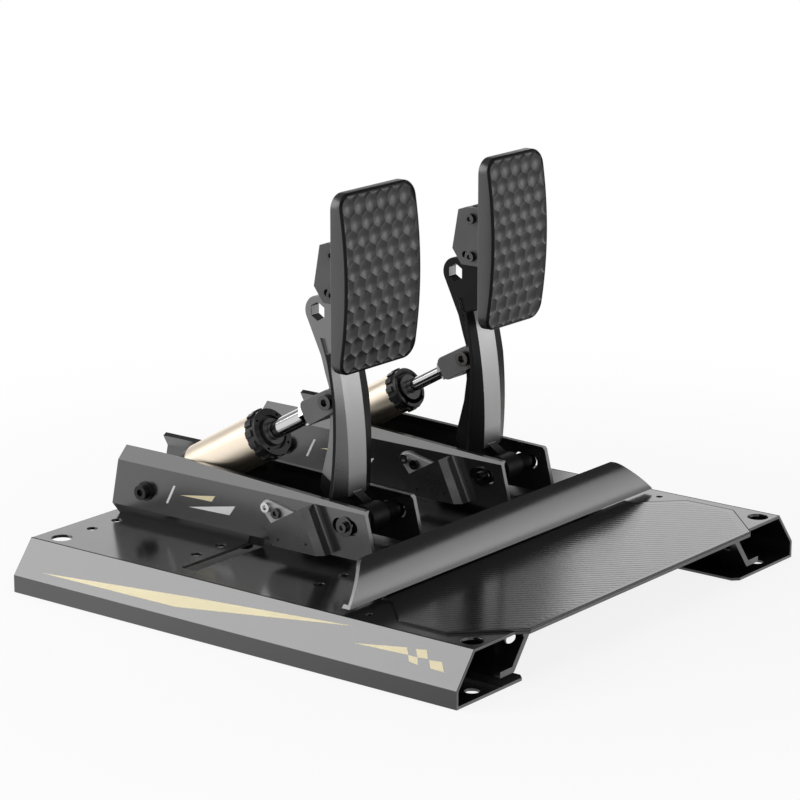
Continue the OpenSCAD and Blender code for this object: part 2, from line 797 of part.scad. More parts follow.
// Corners of an ear's front edge, from the upper bolt
ear_front = [[8.3, -31.7], [15.8, -21.7], [11, 5], [4.5, 7.3]];
module ear_outline() {
    front = [for (p = ear_front) tilt_at + p];
    polygon(concat([[pad_back_y, bracket_low]], front, [[pad_back_y, bracket_high]]));
}
function slot_point(turn, r) = [tilt_y + r * sin(turn), tilt_up - r * cos(turn)];
tilt_slot_steps = 8;
// The lower bolt's slot is an arc about the upper bolt
module tilt_slot() {
    r = screw_d / 2 + gap / 2;
    turns = [for (i = [0:tilt_slot_steps]) tilt_range * i / tilt_slot_steps];
    outer = [for (t = turns) slot_point(t, tilt_r + r)];
    back = [for (i = [tilt_slot_steps:-1:0]) slot_point(turns[i], tilt_r - r)];
    along_x(-ear_out - cut, ear_out + cut) polygon(concat(outer, back));
    for (t = [0, tilt_range])
        bar_x(-ear_out - cut, ear_out + cut, slot_point(t, tilt_r), r);
}
pad_screw_inset = 6.5;
pad_screw_places = [
    for (sx = [-1, 1], z = [bracket_low + pad_screw_inset, bracket_high - pad_screw_inset])
        [sx * (bracket_w / 2 - pad_screw_inset), z]
];
module face_bracket() {
    color(grey) difference() {
        union() {
            translate([-bracket_w / 2, pad_back_y, bracket_low])
                cube([bracket_w, bracket_back_t, bracket_high - bracket_low]);
            for (sx = [-1, 1])
                along_x(sx > 0 ? ear_in : -ear_out, sx > 0 ? ear_out : -ear_in) ear_outline();
        }
        bar_x(-ear_out - cut, ear_out + cut, tilt_at, screw_d / 2 + run);
        tilt_slot();
        for (at = pad_screw_places)
            translate([at.x, ear_rear + cut, at.y]) rotate([90, 0, 0])
                cylinder(d = screw_d + 2 * run, h = bracket_back_t + 2 * cut);
    }
}
pad_skin = 1.5;
pad_screw_depth = pad_edge_t - pad_skin;
module pad_outline(w) {
    r = pad_corner_r;
    translate([-w / 2 + r, pad_up]) square([w - 2 * r, pad_h]);
    translate([-w / 2, pad_up + r]) square([w, pad_h - 2 * r]);
    for (sx = [-1, 1], z = [pad_up + r, pad_up + pad_h - r])
        translate([sx * (w / 2 - r), z]) circle(r = r);
}
// The pad's face is part of a large cylinder that lies along X
face_r = (pow(pad_h / 2, 2) + pow(pad_bulge, 2)) / (2 * pad_bulge);
face_front_y = pad_back_y - pad_edge_t - pad_bulge;
module pad(w) {
    color(black) difference() {
        intersection() {
            along_y(face_front_y - cut, pad_back_y) pad_outline(w);
            translate([-w / 2 - cut, face_front_y + face_r, pad_up + pad_h / 2]) rotate([0, 90, 0])
                cylinder(r = face_r, h = w + 2 * cut, $fn = 128);
        }
        for (at = pad_screw_places)
            translate([at.x, pad_back_y + cut, at.y]) rotate([90, 0, 0])
                cylinder(d = screw_d, h = pad_screw_depth + cut);
    }
}
module pad_screws() {
    color(steel) for (at = pad_screw_places)
        translate([at.x, ear_rear, at.y]) {
            rotate([-90, 0, 0]) cylinder(d = screw_head_d, h = screw_head_h);
            rotate([90, 0, 0]) cylinder(d = screw_d - 2 * run, h = bracket_back_t + pad_screw_depth - run);
        }
}
module bracket_bolts() {
    color(steel) for (at = [tilt_at, lower_at]) {
        socket_bolt_x(-ear_out - gap / 2 - screw_head_h, ear_out + gap, at, screw_d - 2 * run,
            screw_head_d, screw_head_h);
        hex_x(ear_out + gap / 2, ear_out + gap / 2 + screw_head_h, at, screw_head_d);
    }
}

// Damper

module ring(r_out, r_in, h) {
    difference() {
        cylinder(r = r_out, h = h);
        translate([0, 0, -cut]) cylinder(r = r_in, h = h + 2 * cut);
    }
}
module barrel(barrel_d) {
    color(gold) on_damper() translate([0, 0, barrel_from]) ring(barrel_d / 2, bore_r(barrel_d), barrel_l);
}
cap_l = 7;
cap_step = 1;
eye_r = 8.5;
eye_w = 16;
module end_cap(barrel_d) {
    color(black) difference() {
        union() {
            on_damper() {
                translate([0, 0, barrel_from - cap_l]) cylinder(r = barrel_d / 2 - cap_step, h = cap_l);
                translate([0, 0, barrel_from]) cylinder(r = bore_r(barrel_d), h = cap_plug);
                translate([-eye_w / 2, -eye_r, 0]) cube([eye_w, 2 * eye_r, barrel_from - cap_l + cut]);
            }
            bar_x(-eye_w / 2, eye_w / 2, front_at, eye_r);
        }
        bar_x(-eye_w, eye_w, front_at, bolt_d / 2 + run);
    }
}
module front_bolt() {
    color(black) {
        socket_bolt_x(-half - washer_t - bolt_head_h, half + washer_t + nut_h, front_at, bolt_d,
            bolt_head_d, bolt_head_h);
        bar_x(-half - washer_t, -half, front_at, washer_d / 2);
        bar_x(half, half + washer_t, front_at, washer_d / 2);
        hex_x(half + washer_t, half + washer_t + nut_h, front_at, bolt_head_d);
    }
}
module front_spacers() {
    color(grey) for (sx = [-1, 1])
        difference() {
            bar_x(sx > 0 ? eye_w / 2 + gap : -inner, sx > 0 ? inner : -eye_w / 2 - gap, front_at, bolt_d);
            bar_x(-half, half, front_at, bolt_d / 2 + run);
        }
}
collar_flange_l = 5.5;
collar_step = 1.25;
notch_w = 3;
notch_t = 1.6;
recess_rim = 2.5;
recess_d = 2 * (neck_r + recess_rim);
recess_l = 2;
spanner_hole_d = 1.8;
spanner_holes = 4;
module collar(collar_d) {
    boss_d = collar_d - 2 * collar_step;
    color(black) on_damper() translate([0, 0, barrel_end + gap]) difference() {
        union() {
            cylinder(d = collar_d, h = collar_flange_l);
            cylinder(d = boss_d, h = collar_l);
        }
        translate([0, 0, -cut]) cylinder(r = neck_r + run, h = collar_l + 2 * cut);
        translate([0, 0, collar_l - recess_l]) cylinder(d = recess_d, h = recess_l + cut);
        for (i = [0:collar_notches - 1])
            rotate([0, 0, i * 360 / collar_notches])
                translate([collar_d / 2 - notch_t, -notch_w / 2, -cut])
                    cube([notch_t + cut, notch_w, collar_flange_l + 2 * cut]);
        for (i = [0:spanner_holes - 1])
            rotate([0, 0, (i + 0.5) * 360 / spanner_holes])
                translate([(recess_d + boss_d) / 4, 0, collar_l / 2])
                    cylinder(d = spanner_hole_d, h = collar_l);
    }
}
module gland(rod_d, barrel_d) {
    color(grey) on_damper() translate([0, 0, barrel_end - gland_l]) difference() {
        union() {
            cylinder(r = bore_r(barrel_d), h = gland_l);
            cylinder(r = neck_r, h = gland_l + neck_l);
        }
        translate([0, 0, -cut]) cylinder(r = rod_d / 2 + run, h = gland_l + neck_l + 2 * cut);
    }
}
module rod(rod_d) {
    color(steel) on_damper() {
        translate([0, 0, piston_end]) cylinder(d = rod_d, h = clevis_from - piston_end);
        translate([0, 0, piston_from]) cylinder(r = rod_stub_r, h = clevis_from + rod_stub_l - piston_from);
        translate([0, 0, clevis_from - jam_l]) cylinder(d = rod_d + jam_margin, h = jam_l, $fn = 6);
    }
}
module piston(barrel_d) {
    color(grey) on_damper() translate([0, 0, piston_from])
        ring(bore_r(barrel_d) - 2 * run, rod_stub_r, piston_l);
}
coil_turns = 6;
coil_rings = 12;
coil_sides = 6;
spring_room = 3;
// Points of one cross-section of the coil: r and z about the wire's centre, turned round the axis
function coil_ring(turn, z, wire_r, spring_r) = [
    for (k = [0:coil_sides - 1])
        let (a = k * 360 / coil_sides, r = spring_r + wire_r * cos(a) - wire_r)
        [r * cos(turn), r * sin(turn), z + wire_r * sin(a)]
];
module spring(wire_d, barrel_d) {
    spring_r = bore_r(barrel_d) - spring_room;
    from = barrel_from + cap_plug + wire_d / 2 + gap;
    to = piston_from - wire_d / 2 - gap;
    count = coil_turns * coil_rings;
    points = [
        for (i = [0:count])
            each coil_ring(i * 360 / coil_rings, mix(from, to, i / count), wire_d / 2, spring_r)
    ];
    walls = [
        for (i = [0:count - 1], k = [0:coil_sides - 1])
            let (a = i * coil_sides + k, b = i * coil_sides + (k + 1) % coil_sides)
            each [[a, a + coil_sides, b], [b, a + coil_sides, b + coil_sides]]
    ];
    first = [for (k = [1:coil_sides - 2]) [0, k, k + 1]];
    last = [for (f = first) [f[0], f[2], f[1]] + count * coil_sides * [1, 1, 1]];
    color(steel) on_damper() polyhedron(points, concat(walls, first, last));
}
clevis_block = 8;
clevis_end_r = 7.6;
clevis_corner_r = 4.5;
// The clevis from its side: across the damper, and along it
module clevis_side() {
    hull() {
        for (sy = [-1, 1])
            translate([sy * (clevis_h / 2 - clevis_corner_r), clevis_from + clevis_corner_r])
                circle(r = clevis_corner_r);
        translate([0, damper_l]) circle(r = clevis_end_r);
    }
}
module clevis() {
    color(grey) on_damper() difference() {
        along_x(-clevis_outer, clevis_outer) clevis_side();
        translate([-clevis_inner, -clevis_h, clevis_from + clevis_block])
            cube([2 * clevis_inner, 2 * clevis_h, clevis_l + clevis_end_r]);
        translate([-clevis_outer - cut, 0, damper_l]) rotate([0, 90, 0])
            cylinder(d = bolt_d + 2 * run, h = 2 * clevis_outer + 2 * cut);
        translate([0, 0, clevis_from - cut]) cylinder(r = rod_stub_r, h = rod_stub_l + cut);
    }
}
module clevis_bolt() {
    color(steel) {
        socket_bolt_x(-clevis_outer - bolt_head_h, clevis_outer + nut_h, pin_at, bolt_d, bolt_head_d,
            bolt_head_h);
        hex_x(clevis_outer, clevis_outer + nut_h, pin_at, bolt_head_d);
    }
}

// Sensor on the outside of the left plate

box_outline = [[-1, 39], [-15, 9], [25, 9], [31, 21]];
sensor_bolt_places = [[37.5, 30], [29.2, 27.5]];
box_low_x = -half - sensor_sheet_t;
box_out_x = box_low_x - box_depth;
box_bevel = 4;
tab_r = 4.6;
// How far along the box's upper edge the bracket's tab reaches
tab_along = 0.5;
module bracket_outline() {
    polygon(box_outline);
    hull() {
        polygon([mix(box_outline[3], box_outline[0], tab_along), box_outline[2], box_outline[3]]);
        translate(sensor_bolt_places[0]) circle(r = tab_r);
    }
}
module sensor_bracket() {
    color(steel) difference() {
        along_x(box_low_x, -half) bracket_outline();
        for (at = sensor_bolt_places)
            bar_x(box_low_x - cut, -half + cut, at, screw_d / 2 + run);
    }
}
// Where the outlet sits along the box's front edge, and across its depth
outlet_along = 0.45;
outlet_across = 0.55;
outlet_at = mix(box_outline[2], box_outline[3], outlet_along);
module sensor_box() {
    hollow = inset(box_outline, box_wall);
    color(satin) difference() {
        along_x(box_out_x, box_low_x) polygon(box_outline);
        along_x(box_out_x + box_wall + box_bevel / 2, box_low_x + cut) polygon(hollow);
        translate([box_out_x, 0, 0]) box_bevel_cut();
        translate([mix(box_out_x, box_low_x, outlet_across), outlet_at.x, outlet_at.y])
            rotate([90 - outlet_tilt, 0, 0]) cylinder(d = outlet_d, h = 4 * box_wall, center = true);
    }
}
outlet_tilt = atan2(box_outline[3].x - box_outline[2].x, box_outline[3].y - box_outline[2].y);
// The rear edge of the box's outer face is cut back
module box_bevel_cut() {
    edge = unit(box_outline[1] - box_outline[0]);
    lean = atan2(edge.x, -edge.y);
    side = box_bevel * sqrt(2);
    reach = 2 * norm(box_outline[1] - box_outline[0]);
    translate([0, box_outline[0].x, box_outline[0].y]) rotate([lean, 0, 0])
        rotate([0, 0, 45]) translate([-side / 2, -side / 2, -reach / 2]) cube([side, side, reach]);
}
board_t = 1.6;
module sensor_board() {
    color("darkgreen") along_x(box_low_x - board_t, box_low_x)
        polygon(inset(box_outline, box_wall + gap));
}
module sensor_screws() {
    color(steel) for (at = sensor_bolt_places)
        socket_bolt_x(box_low_x - screw_head_h, -inner, at, screw_d, screw_head_d, screw_head_h);
}

module brake() {
    at_module(-1) children();
}
module throttle() {
    at_module(1) children();
}

on_floor() base_plate();
on_floor() rail_web(-1);  // rail_web_left
on_floor() rail_web(1);  // rail_web_right
on_floor() heel_plate();
on_floor() kicker_plate();
on_floor() deck_screws();

brake() side_plate(-1);  // brake_left_plate
brake() side_plate(1);  // brake_right_plate
brake() mount_bolts();  // brake_mount_bolts
brake() axle();  // brake_axle
brake() axle_screws();  // brake_axle_screws
brake() axle_spacers();  // brake_axle_spacers
brake() arm_bushes();  // brake_arm_bushes
brake() arm();  // brake_arm
brake() face_bracket();  // brake_face_bracket
brake() pad(brake_pad_w);  // brake_pad
brake() pad_screws();  // brake_pad_screws
brake() bracket_bolts();  // brake_bracket_bolts
brake() barrel(brake_barrel_d);  // brake_barrel
brake() end_cap(brake_barrel_d);  // brake_end_cap
brake() front_bolt();  // brake_front_bolt
brake() front_spacers();  // brake_front_spacers
brake() collar(brake_collar_d);  // brake_collar
brake() gland(brake_rod_d, brake_barrel_d);  // brake_gland
brake() rod(brake_rod_d);  // brake_rod
brake() piston(brake_barrel_d);  // brake_piston
brake() spring(brake_wire_d, brake_barrel_d);  // brake_spring
brake() clevis();  // brake_clevis
brake() clevis_bolt();  // brake_clevis_bolt
brake() sensor_box();  // brake_sensor_box
brake() sensor_board();  // brake_sensor_board
brake() sensor_bracket();  // brake_sensor_bracket
brake() sensor_screws();  // brake_sensor_screws

throttle() side_plate(-1);  // throttle_left_plate
throttle() side_plate(1);  // throttle_right_plate
throttle() mount_bolts();  // throttle_mount_bolts
throttle() axle();  // throttle_axle
throttle() axle_screws();  // throttle_axle_screws
throttle() axle_spacers();  // throttle_axle_spacers
throttle() arm_bushes();  // throttle_arm_bushes
throttle() arm();  // throttle_arm
throttle() face_bracket();  // throttle_face_bracket
throttle() pad(throttle_pad_w);  // throttle_pad
throttle() pad_screws();  // throttle_pad_screws
throttle() bracket_bolts();  // throttle_bracket_bolts
throttle() barrel(throttle_barrel_d);  // throttle_barrel
throttle() end_cap(throttle_barrel_d);  // throttle_end_cap
throttle() front_bolt();  // throttle_front_bolt
throttle() front_spacers();  // throttle_front_spacers
throttle() collar(throttle_collar_d);  // throttle_collar
throttle() gland(throttle_rod_d, throttle_barrel_d);  // throttle_gland
throttle() rod(throttle_rod_d);  // throttle_rod
throttle() piston(throttle_barrel_d);  // throttle_piston
throttle() spring(throttle_wire_d, throttle_barrel_d);  // throttle_spring
throttle() clevis();  // throttle_clevis
throttle() clevis_bolt();  // throttle_clevis_bolt
throttle() sensor_box();  // throttle_sensor_box
throttle() sensor_board();  // throttle_sensor_board
throttle() sensor_bracket();  // throttle_sensor_bracket
throttle() sensor_screws();  // throttle_sensor_screws
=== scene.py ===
"""Looks of a two-pedal racing simulator set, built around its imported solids.

+X is the driver's right, +Y points away from the driver and +Z is up. The object's sizes are written
in millimetres and turned into metres where the meshes are made; the studio's are in metres.
"""
import json
import math

import bmesh
import bpy
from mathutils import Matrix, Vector


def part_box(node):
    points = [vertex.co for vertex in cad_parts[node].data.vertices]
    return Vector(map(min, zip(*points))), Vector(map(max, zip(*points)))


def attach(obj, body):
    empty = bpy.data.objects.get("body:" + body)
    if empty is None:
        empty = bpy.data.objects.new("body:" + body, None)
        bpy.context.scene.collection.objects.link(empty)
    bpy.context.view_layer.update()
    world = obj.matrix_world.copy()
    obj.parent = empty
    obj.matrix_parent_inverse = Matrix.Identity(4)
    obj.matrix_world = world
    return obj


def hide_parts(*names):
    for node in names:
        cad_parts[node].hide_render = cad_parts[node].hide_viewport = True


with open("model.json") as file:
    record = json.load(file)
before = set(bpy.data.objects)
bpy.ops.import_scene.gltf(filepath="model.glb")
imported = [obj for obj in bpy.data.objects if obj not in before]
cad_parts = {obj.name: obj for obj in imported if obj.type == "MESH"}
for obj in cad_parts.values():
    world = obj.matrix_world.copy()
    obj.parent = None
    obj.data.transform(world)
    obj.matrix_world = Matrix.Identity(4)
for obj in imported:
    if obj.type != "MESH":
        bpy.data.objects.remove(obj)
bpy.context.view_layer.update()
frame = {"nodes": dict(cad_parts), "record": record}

MM = 0.001
MODULES = ("brake", "throttle")
HANDS = (("left", -1.0), ("right", 1.0))
# The deck's middle along Y, half width, length and top, and the lower edges of its sloped skirts
DECK_Y = 3.25
DECK_EDGE_X = 170.0
DECK_L = 358.0
DECK_Z = 33.0
SKIRT_EDGE_X = 187.0
SKIRT_EDGE_Z = 11.5


# Shader nodes

def set_sockets(tree, sockets, values):
    """Sets each socket to its value, which is a number or another node's output."""
    for socket, value in zip(sockets, values):
        if isinstance(value, float):
            socket.default_value = value
        else:
            tree.links.new(value, socket)


def math_node(tree, operation, *values):
    node = tree.nodes.new("ShaderNodeMath")
    node.operation = operation
    set_sockets(tree, node.inputs, values)
    return node.outputs["Value"]


def map_range(tree, value, start, end, low=0.0, high=1.0, smooth=False):
    """A value that goes from low to high while another goes from start to end."""
    node = tree.nodes.new("ShaderNodeMapRange")
    if smooth:
        node.interpolation_type = "SMOOTHSTEP"
    sockets = [node.inputs[name] for name in ("Value", "From Min", "From Max", "To Min", "To Max")]
    set_sockets(tree, sockets, (value, start, end, low, high))
    return node.outputs["Result"]


def texture_place(tree, space):
    return tree.nodes.new("ShaderNodeTexCoord").outputs[space]


def split_axes(tree, place):
    """The X, Y and Z outputs of a place."""
    node = tree.nodes.new("ShaderNodeSeparateXYZ")
    tree.links.new(place, node.inputs["Vector"])
    return node.outputs


# Materials

# The part of a noise's range that a finish is spread over
NOISE_LOW = 0.3
NOISE_HIGH = 0.7


def make_material(name, colour, roughness, metallic=0.0, tint=0.12, patch=30.0, rough_spread=0.05,
                  rough_patch=12.0, grain=0.5, relief=0.02, fade=None, **sockets):
    """A finish whose colour, gloss and fine relief vary by noise; patches, grain and relief are in mm.

    With a fade, the colour goes from black to full between two heights, also in mm: painted shade that
    darkens the part below.
    """
    material = bpy.data.materials.new(name)
    material.use_nodes = True
    tree = material.node_tree
    shader = tree.nodes["Principled BSDF"]
    place = texture_place(tree, "Object")

    def noise(size, detail):
        texture = tree.nodes.new("ShaderNodeTexNoise")
        texture.inputs["Scale"].default_value = 1.0 / (size * MM)
        texture.inputs["Detail"].default_value = detail
        tree.links.new(place, texture.inputs["Vector"])
        return texture.outputs["Fac"]

    ramp = tree.nodes.new("ShaderNodeValToRGB")
    low, high = ramp.color_ramp.elements
    low.position, high.position = NOISE_LOW, NOISE_HIGH
    low.color = [c * (1.0 - tint) for c in colour] + [1.0]
    high.color = [min(c * (1.0 + tint), 1.0) for c in colour] + [1.0]
    tree.links.new(noise(patch, detail=3.0), ramp.inputs["Fac"])
    base = ramp.outputs["Color"]
    # Painted shade: the colour is scaled down to black below the fade's heights
    if fade:
        dim = tree.nodes.new("ShaderNodeVectorMath")
        dim.operation = "SCALE"
        tree.links.new(base, dim.inputs["Vector"])
        rise = map_range(tree, split_axes(tree, place)["Z"], fade[0] * MM, fade[1] * MM)
        tree.links.new(rise, dim.inputs["Scale"])
        base = dim.outputs["Vector"]
    tree.links.new(base, shader.inputs["Base Color"])

    gloss = map_range(tree, noise(rough_patch, detail=4.0), NOISE_LOW, NOISE_HIGH,
                      roughness - rough_spread, roughness + rough_spread)
    tree.links.new(gloss, shader.inputs["Roughness"])

    bump = tree.nodes.new("ShaderNodeBump")
    bump.inputs["Distance"].default_value = relief * MM
    tree.links.new(noise(grain, detail=2.0), bump.inputs["Height"])
    tree.links.new(bump.outputs["Normal"], shader.inputs["Normal"])

    shader.inputs["Metallic"].default_value = metallic
    for socket, value in sockets.items():
        shader.inputs[socket.replace("_", " ").title().replace("Ior", "IOR")].default_value = value
    return material


def grey(level):
    return (level, level, level)


def powder_coat(name, level, roughness, gloss=1.0):
    """A smooth black coat on sheet metal."""
    return make_material(name, grey(level), roughness, rough_spread=0.010, relief=0.003, grain=0.45,
                         ior=1.62, specular_ior_level=gloss)


# The finish of each of the record's slots
MATERIALS = {
    "base_black": powder_coat("powder_coat", 0.008, 0.17),
    "heel_plate": powder_coat("heel_coat", 0.007, 0.15),
    "plate_black": powder_coat("plate_coat", 0.013, 0.20),
    "black_fasteners": make_material("black_oxide", grey(0.018), 0.30, metallic=0.4, grain=0.3),
    "steel": make_material("bright_steel", (0.50, 0.50, 0.51), 0.24, metallic=1.0, tint=0.06, grain=0.3),
    "dark_grey": make_material("dark_anodised", grey(0.10), 0.36, metallic=0.7, grain=0.3),
    "light_grey": make_material("zinc_sheet", (0.46, 0.46, 0.465), 0.42, metallic=0.6, grain=0.4),
    "arm_grey": make_material("satin_arm", grey(0.20), 0.30, metallic=1.0, tint=0.05, grain=0.35,
                              relief=0.006),
    "clevis_grey": make_material("clevis_cast", (0.13, 0.13, 0.132), 0.45, metallic=0.4, relief=0.02),
    "bronze": make_material("sintered_bronze", (0.42, 0.27, 0.13), 0.40, metallic=1.0),
    "pad_black": make_material("pad_anodised", grey(0.026), 0.32, rough_spread=0.03, grain=0.35,
                               relief=0.004, specular_ior_level=0.9),
    "gold": make_material("champagne_anodised", (1.0, 0.87, 0.71), 0.38, metallic=1.0, tint=0.015,
                          rough_spread=0.01, grain=0.4, relief=0.001),
    "collar_black": make_material("collar_anodised", grey(0.012), 0.32, grain=0.3, relief=0.008),
    "chrome": make_material("hard_chrome", (0.62, 0.62, 0.63), 0.09, metallic=1.0, tint=0.03,
                            rough_spread=0.03, relief=0.002),
    "sensor_black": make_material("sensor_shell", grey(0.014), 0.30, relief=0.006, grain=0.4,
                                  specular_ior_level=1.0),
    "board": make_material("circuit_board", (0.02, 0.09, 0.04), 0.45, tint=0.2, patch=3.0),
}
# Finishes that only some faces or pieces have
GOLD_PAINT = make_material("gold_paint", (0.88, 0.78, 0.50), 0.45, tint=0.03, relief=0.006)
WHITE_PAINT = make_material("white_paint", grey(0.86), 0.45, tint=0.03, relief=0.006)
# Near-black: painted shade in the gap round the heel plate and along the deck's folds, and the sensor boxes'
# dark screw heads
SEAM_BLACK = make_material("seam_shadow", grey(0.004), 0.60, tint=0.2, specular_ior_level=0.2)
# Bare metal on cut ends that face along Y and on the kicker's ends, which also paints a highlight there
BARE_EDGE_HIGHLIGHT = make_material("bare_edge_highlight", grey(0.24), 0.40, metallic=1.0, tint=0.08, patch=6.0)
# Heights between which painted shade darkens an arm's lit faces to black at its foot
ARM_FOOT_SHADE = (71.0, 88.0)
# Lit and shaded copies of the arms' metal: a brighter strip as a painted highlight, a half-lit bevel, and
# near-black painted shade
ARM_LIT_STRIP = make_material("arm_lit_strip", grey(0.56), 0.42, metallic=1.0, tint=0.03, rough_spread=0.02,
                          grain=0.5, relief=0.002, fade=ARM_FOOT_SHADE)
ARM_HALF_LIT_SIDE = make_material("arm_half_lit_side", grey(0.28), 0.28, metallic=1.0, tint=0.04, rough_spread=0.02, grain=0.5,
                         relief=0.002, fade=ARM_FOOT_SHADE)
ARM_SHADE = make_material("arm_shade", grey(0.006), 0.35, tint=0.10, relief=0.002, specular_ior_level=0.15)
# Near-black painted shade on the arms' hubs and the axle's spacers, which sit in shade between the plates
HUB_SHADE = make_material("hub_shade", grey(0.006), 0.45, tint=0.10, relief=0.004, specular_ior_level=0.15)
# The plate coat with half its reflection, for faces that look up: painted shade on the side plates' flanges
FLANGE_DIMMED_COAT = powder_coat("flange_dimmed_coat", 0.013, 0.20, gloss=0.5)
DARK_STEEL = make_material("dark_steel", grey(0.09), 0.20, metallic=1.0, tint=0.10, grain=0.3)
POLISHED = make_material("polished_steel", grey(0.60), 0.12, metallic=1.0, tint=0.04, rough_spread=0.02,
                         relief=0.001)
# Near-black: painted shade on the rounded edge round a pad's face
PAD_EDGE_SHADE = make_material("pad_edge_shade", grey(0.004), 0.45, tint=0.2, specular_ior_level=0.25)


# Meshes

def add_piece(name, verts, faces, material, body, smooth=False):
    """A new piece from points in millimetres, riding on a body."""
    mesh = bpy.data.meshes.new(name)
    mesh.from_pydata([Vector(v) * MM for v in verts], [], faces)
    work = bmesh.new()
    work.from_mesh(mesh)
    bmesh.ops.recalc_face_normals(work, faces=work.faces)
    work.to_mesh(mesh)
    work.free()
    mesh.materials.append(material)
    if smooth:
        mesh.shade_smooth()
    piece = bpy.data.objects.new(name, mesh)
    bpy.context.scene.collection.objects.link(piece)
    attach(piece, body)
    return piece


def box_mm(node):
    low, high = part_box(node)
    return low / MM, high / MM


# How far paint stands above its surface, and sinks below it, and a dark line's share of that
PAINT_T = 0.08
LINE_SHARE = 0.5


def add_paint(name, polygons, on_surface, material):
    """Flat painted shapes: on_surface gives a place at a height above the surface."""
    verts, faces = [], []
    for polygon in polygons:
        first, n = len(verts), len(polygon)
        verts += [on_surface(*p, -PAINT_T) for p in polygon]
        verts += [on_surface(*p, PAINT_T) for p in polygon]
        faces.append(tuple(range(first + n, first + 2 * n)))
        faces.append(tuple(range(first, first + n)))
        for k in range(n):
            m = (k + 1) % n
            faces.append((first + k, first + m, first + n + m, first + n + k))
    add_piece(name, verts, faces, material, "base")


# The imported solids

# How far the edges of each slot's nodes are broken, and from which angle on
EDGE_BREAKS = {"base_black": 0.4, "heel_plate": 0.3, "plate_black": 0.4, "arm_grey": 0.4, "gold": 0.5,
               "collar_black": 0.25, "clevis_grey": 0.5, "sensor_black": 0.5, "dark_grey": 0.3,
               "light_grey": 0.2, "chrome": 0.2}
SMALL_EDGE = 0.15
EDGE_SEGMENTS = 2
SHARP = math.radians(28.0)
ARM_SHARP = math.radians(5.0)
WELD_REACH = 0.01
FLAT_ANGLE = math.radians(0.5)
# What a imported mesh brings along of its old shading
OLD_SHADING = ("custom_normal", "sharp_edge", "sharp_face")
# Finishes of single nodes that differ from their slot's, by the end of their names; the axle's spacers get
# the hubs' painted shade
NODE_FINISHES_AND_SHADE = {"axle": DARK_STEEL, "axle_screws": DARK_STEEL, "axle_spacers": HUB_SHADE,
                 "bracket_bolts": DARK_STEEL, "clevis_bolt": DARK_STEEL, "sensor_screws": DARK_STEEL}
# Sheets with bare cut ends, which carry a painted highlight where they face along Y
CUT_NODES = ("base_plate", "rail_web_left", "rail_web_right")
# Nodes whose faces with holes stay as they are packed, with sharp edges
WHOLE_NODES = ("kicker_plate", "left_plate", "right_plate", "sensor_box")
# Least parts of a face's normal, which choose where painted light and shade go: back on an arm, sideways on
# its flange and on its bevels, along Y on a sheet's cut end, up on a side plate's flange, and sideways on the
# kicker's ends
BACK_FACING = 0.5
FLANK_FACING = 0.8
BEVEL_FACING = 0.04
CUT_FACING = 0.9
FLANGE_FACING = 0.3
KICKER_END_FACING = 0.3
# Top of the painted shade on the arms' hubs
HUB_TOP = 80.0
# Places of the arms along X, and the half width that only an arm's flange passes
ARM_X = 72.0
SPINE_ROOM = 8.0
# The kicker's ends are bare metal with a painted highlight above this height
KICKER_FOOT_TOP = 38.0
# Sensor screws past this place along Y are polished
POLISHED_FROM_Y = 36.6


def own_name(node):
    """A node's name without its module."""
    for side in MODULES:
        if node.startswith(side + "_"):
            return node[len(side) + 1:]
    return node


def brake_arm_light_and_shade(face):
    """Lit and shaded copies of the arm's metal: a painted highlight in a bright strip down its back, a
    half-lit left bevel, painted shade on the right bevel and the flange's sides, and near-black painted shade
    on the hub.
    """
    backward = face.normal.y < -BACK_FACING
    if face.center.z < (ARM_FOOT_SHADE[0] if backward else HUB_TOP) * MM:
        return HUB_SHADE
    off = abs(abs(face.center.x) - ARM_X * MM)
    if abs(face.normal.x) > FLANK_FACING and off > SPINE_ROOM * MM:
        return ARM_SHADE
    if not backward:
        return None
    if face.normal.x > BEVEL_FACING:
        return ARM_SHADE
    return ARM_HALF_LIT_SIDE if face.normal.x < -BEVEL_FACING else ARM_LIT_STRIP


def throttle_arm_light_and_shade(face):
    """The throttle's arm is the brake's with painted shade on both sides of its lit strip and on the rest of
    its faces.
    """
    finish_and_light = brake_arm_light_and_shade(face)
    return ARM_SHADE if finish_and_light in (None, ARM_HALF_LIT_SIDE) else finish_and_light


def sensor_screw_finish(face):
    return POLISHED if face.center.y > POLISHED_FROM_Y * MM else None


# Bare metal on the kicker's ends above its foot, which also paints a highlight there
def kicker_end_highlight(face):
    bare = abs(face.normal.x) > KICKER_END_FACING and face.center.z > KICKER_FOOT_TOP * MM
    return BARE_EDGE_HIGHLIGHT if bare else None


# Bare metal on cut ends that face along Y, which also paints a highlight there
def cut_edge_highlight(face):
    return BARE_EDGE_HIGHLIGHT if abs(face.normal.y) > CUT_FACING else None


# A copy of the coat with less reflection on faces that look up, as painted shade on the flanges, and the
# highlighted bare cut ends
def plate_light_and_shade(face):
    return FLANGE_DIMMED_COAT if face.normal.z > FLANGE_FACING else cut_edge_highlight(face)


# Nodes with more than one finish, by their names or by the end of their names; on the arms, plates, kicker
# and cut sheets these are painted light and shade
FACE_FINISHES_AND_LIGHT = {"kicker_plate": kicker_end_highlight, "sensor_screws": sensor_screw_finish,
                 "brake_arm": brake_arm_light_and_shade, "throttle_arm": throttle_arm_light_and_shade,
                 "left_plate": plate_light_and_shade, "right_plate": plate_light_and_shade,
                 **{name: cut_edge_highlight for name in CUT_NODES}}


def paint_faces(mesh, finish_and_light):
    """Gives each face the finish that suits it, where that isn't the node's own; on some nodes it is painted
    light and shade.
    """
    for face in mesh.polygons:
        material = finish_and_light(face)
        if material is None:
            continue
        if material.name not in mesh.materials:
            mesh.materials.append(material)
        face.material_index = mesh.materials.find(material.name)


